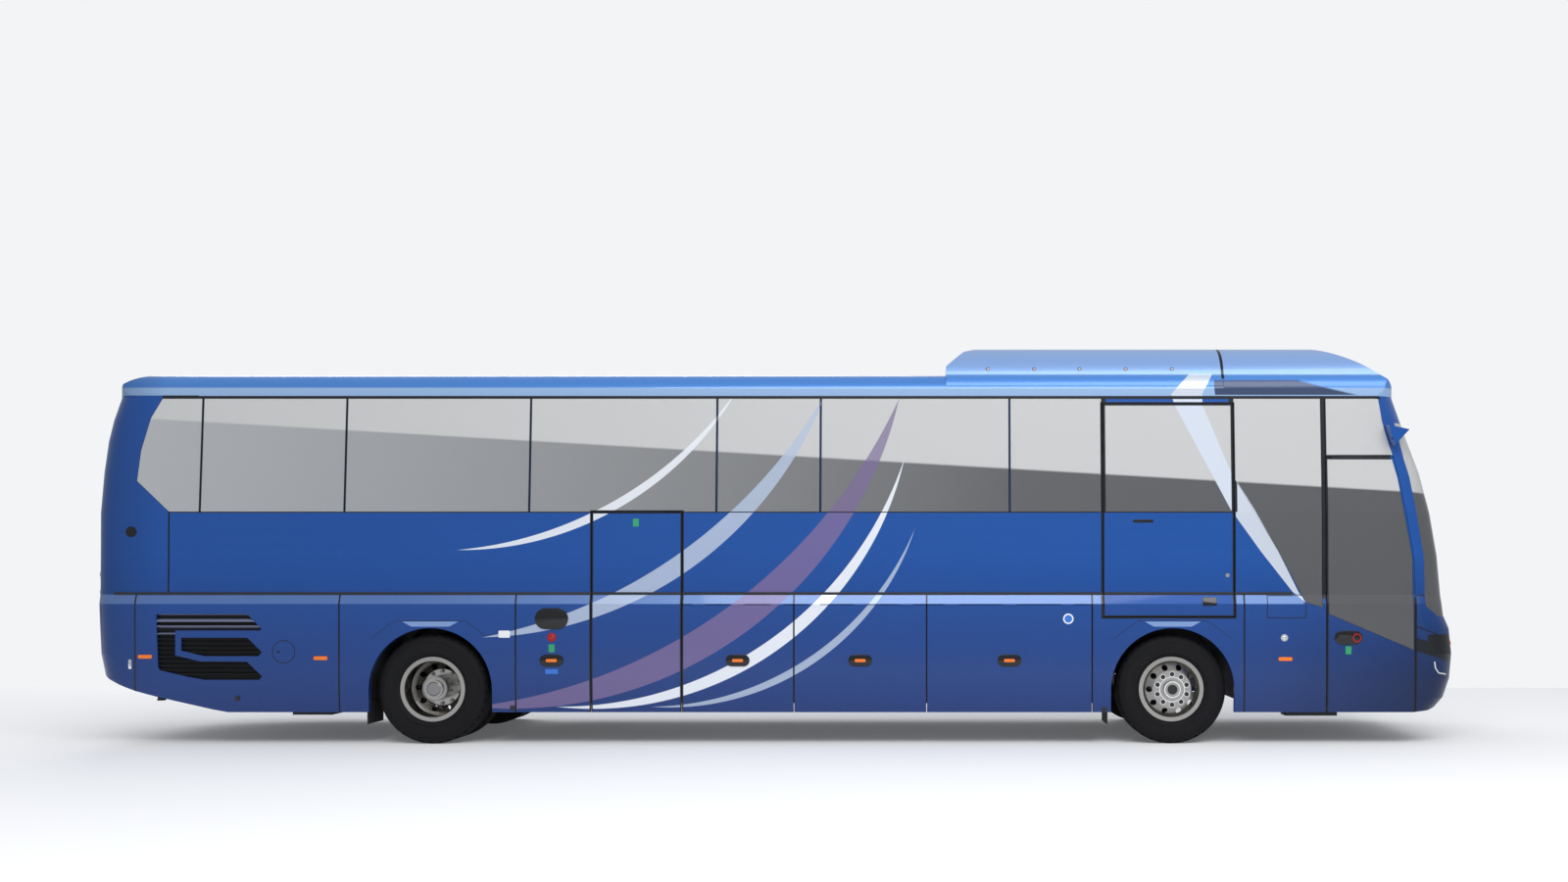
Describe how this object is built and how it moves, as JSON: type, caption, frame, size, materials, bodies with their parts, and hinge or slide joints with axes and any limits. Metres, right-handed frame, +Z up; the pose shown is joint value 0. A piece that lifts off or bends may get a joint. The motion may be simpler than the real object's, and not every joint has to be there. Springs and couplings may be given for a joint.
{
  "type": "high-deck touring coach bus",
  "caption": "High-deck touring coach with glazed sides, passenger and lift doors, luggage flaps, steered front wheels and twin rear wheels.",
  "frame": {"origin": "on the ground at the middle of the coach in plan", "axes": "+X forward, +Y to the left-hand side, +Z up"},
  "size_m": [13.0935, 2.66, 3.87],
  "materials": {
    "body_paint": "metallic blue paint, gloss",
    "glass": "dark tinted glass",
    "black_plastic": "black moulded plastic",
    "tyre": "black tyre rubber",
    "polished_wheel": "polished alloy",
    "frame_steel": "black chassis paint",
    "floor_board": "grey floor covering",
    "seat_fabric": "blue grey seat fabric",
    "lamp": "clear lamp covers",
    "tail_lamp": "red lamp covers",
    "engine": "cast engine block",
    "rubber": "black rubber"
  },
  "bodies": {
    "coach_body": {"camera_pods": "body_paint", "chassis_frame": "frame_steel", "dashboard": "black_plastic", "driver_seat": "seat_fabric", "engine_block": "engine", "floor_deck": "floor_board", "front_axle": "frame_steel", "front_bumper": "body_paint", "front_cap": "body_paint", "front_mask": "body_paint", "front_pillars": "body_paint", "front_platform": "floor_board", "headlamps": "lamp", "luggage_bays": "floor_board", "luggage_racks": "black_plastic", "mid_steps": "floor_board", "mud_flaps": "rubber", "passenger_seats": "seat_fabric", "rear_axle": "frame_steel", "rear_cap": "body_paint", "rear_window": "glass", "roof_dome": "body_paint", "roof_fittings": "black_plastic", "roof_shell": "body_paint", "side_grilles": "black_plastic", "side_wall_left": "body_paint", "side_wall_right": "body_paint", "side_windows": "glass", "skirt_left": "body_paint", "skirt_right": "body_paint", "steering_wheel": "black_plastic", "tail_lamps": "tail_lamp", "wheel_housings": "black_plastic", "windscreen": "glass", "wipers": "black_plastic"},
    "knuckle_right": {"knuckle_right": "frame_steel"},
    "knuckle_left": {"knuckle_left": "frame_steel"},
    "front_wheel_right": {"front_tyre_right": "tyre", "front_rim_right": "polished_wheel"},
    "front_wheel_left": {"front_tyre_left": "tyre", "front_rim_left": "polished_wheel"},
    "rear_wheels_right": {"rear_tyres_right": "tyre", "rear_rims_right": "polished_wheel"},
    "rear_wheels_left": {"rear_tyres_left": "tyre", "rear_rims_left": "polished_wheel"},
    "front_door_arm": {"front_door_arm": "frame_steel"},
    "front_door": {"front_door": "body_paint", "front_door_glass": "glass"},
    "mid_door_arm": {"mid_door_arm": "frame_steel"},
    "mid_door": {"mid_door": "body_paint"},
    "lift_door": {"lift_door": "body_paint", "lift_door_glass": "glass"},
    "engine_lid": {"engine_lid": "body_paint"},
    "luggage_flap_rear_right": {"luggage_flap_rear_right": "body_paint"},
    "luggage_flap_rear_left": {"luggage_flap_rear_left": "body_paint"},
    "luggage_flap_middle_right": {"luggage_flap_middle_right": "body_paint"},
    "luggage_flap_middle_left": {"luggage_flap_middle_left": "body_paint"},
    "luggage_flap_front_right": {"luggage_flap_front_right": "body_paint"},
    "luggage_flap_front_left": {"luggage_flap_front_left": "body_paint"}
  },
  "joints": [
    {"name": "steer_right", "type": "hinge", "parent": "coach_body", "child": "knuckle_right", "pos_m": [3.7765, -0.93, 0.522], "axis": [0, 0, 1], "range_deg": [-40, 40]},
    {"name": "steer_left", "type": "hinge", "parent": "coach_body", "child": "knuckle_left", "pos_m": [3.7765, 0.93, 0.522], "axis": [0, 0, 1], "range_deg": [-40, 40]},
    {"name": "front_wheel_right_spin", "type": "hinge", "parent": "knuckle_right", "child": "front_wheel_right", "pos_m": [3.7765, -1.06, 0.522], "axis": [0, 1, 0], "continuous": true},
    {"name": "rear_wheels_right_spin", "type": "hinge", "parent": "coach_body", "child": "rear_wheels_right", "pos_m": [-3.2735, -0.9175, 0.522], "axis": [0, 1, 0], "continuous": true},
    {"name": "front_wheel_left_spin", "type": "hinge", "parent": "knuckle_left", "child": "front_wheel_left", "pos_m": [3.7765, 1.06, 0.522], "axis": [0, 1, 0], "continuous": true},
    {"name": "rear_wheels_left_spin", "type": "hinge", "parent": "coach_body", "child": "rear_wheels_left", "pos_m": [-3.2735, 0.9175, 0.522], "axis": [0, 1, 0], "continuous": true},
    {"name": "front_door_swing", "type": "hinge", "parent": "coach_body", "child": "front_door_arm", "pos_m": [5.3095, -1.13, 0.72], "axis": [0, 0, -1], "range_deg": [0, 150]},
    {"name": "front_door_follow", "type": "hinge", "parent": "front_door_arm", "child": "front_door", "pos_m": [5.76288, -1.13, 0.72], "axis": [0, 0, 1], "range_deg": [0, 150]},
    {"name": "mid_door_swing", "type": "hinge", "parent": "coach_body", "child": "mid_door_arm", "pos_m": [-1.6775, -1.13, 0.72], "axis": [0, 0, -1], "range_deg": [0, 150]},
    {"name": "mid_door_follow", "type": "hinge", "parent": "mid_door_arm", "child": "mid_door", "pos_m": [-1.21609, -1.13, 0.72], "axis": [0, 0, 1], "range_deg": [0, 150]},
    {"name": "lift_door_swing", "type": "hinge", "parent": "coach_body", "child": "lift_door", "pos_m": [3.1215, -1.276, 1.2], "axis": [0, 0, -1], "range_deg": [0, 90]},
    {"name": "engine_lid_lift", "type": "hinge", "parent": "coach_body", "child": "engine_lid", "pos_m": [-6.5445, 0, 2.104], "axis": [0, 1, 0], "range_deg": [0, 70]},
    {"name": "luggage_flap_rear_right_lift", "type": "hinge", "parent": "coach_body", "child": "luggage_flap_rear_right", "pos_m": [-0.354, -1.276, 1.331], "axis": [-1, 0, 0], "range_deg": [0, 95]},
    {"name": "luggage_flap_rear_left_lift", "type": "hinge", "parent": "coach_body", "child": "luggage_flap_rear_left", "pos_m": [-0.354, 1.276, 1.331], "axis": [1, 0, 0], "range_deg": [0, 95]},
    {"name": "luggage_flap_middle_right_lift", "type": "hinge", "parent": "coach_body", "child": "luggage_flap_middle_right", "pos_m": [0.809, -1.276, 1.331], "axis": [-1, 0, 0], "range_deg": [0, 95]},
    {"name": "luggage_flap_middle_left_lift", "type": "hinge", "parent": "coach_body", "child": "luggage_flap_middle_left", "pos_m": [0.809, 1.276, 1.331], "axis": [1, 0, 0], "range_deg": [0, 95]},
    {"name": "luggage_flap_front_right_lift", "type": "hinge", "parent": "coach_body", "child": "luggage_flap_front_right", "pos_m": [2.2255, -1.276, 1.331], "axis": [-1, 0, 0], "range_deg": [0, 95]},
    {"name": "luggage_flap_front_left_lift", "type": "hinge", "parent": "coach_body", "child": "luggage_flap_front_left", "pos_m": [2.2255, 1.276, 1.331], "axis": [1, 0, 0], "range_deg": [0, 95]}
  ],
  "couplings": [
    {"joint": "steer_left", "follows": "steer_right", "ratio": 1},
    {"joint": "front_door_follow", "follows": "front_door_swing", "ratio": 1},
    {"joint": "mid_door_follow", "follows": "mid_door_swing", "ratio": 1}
  ]
}
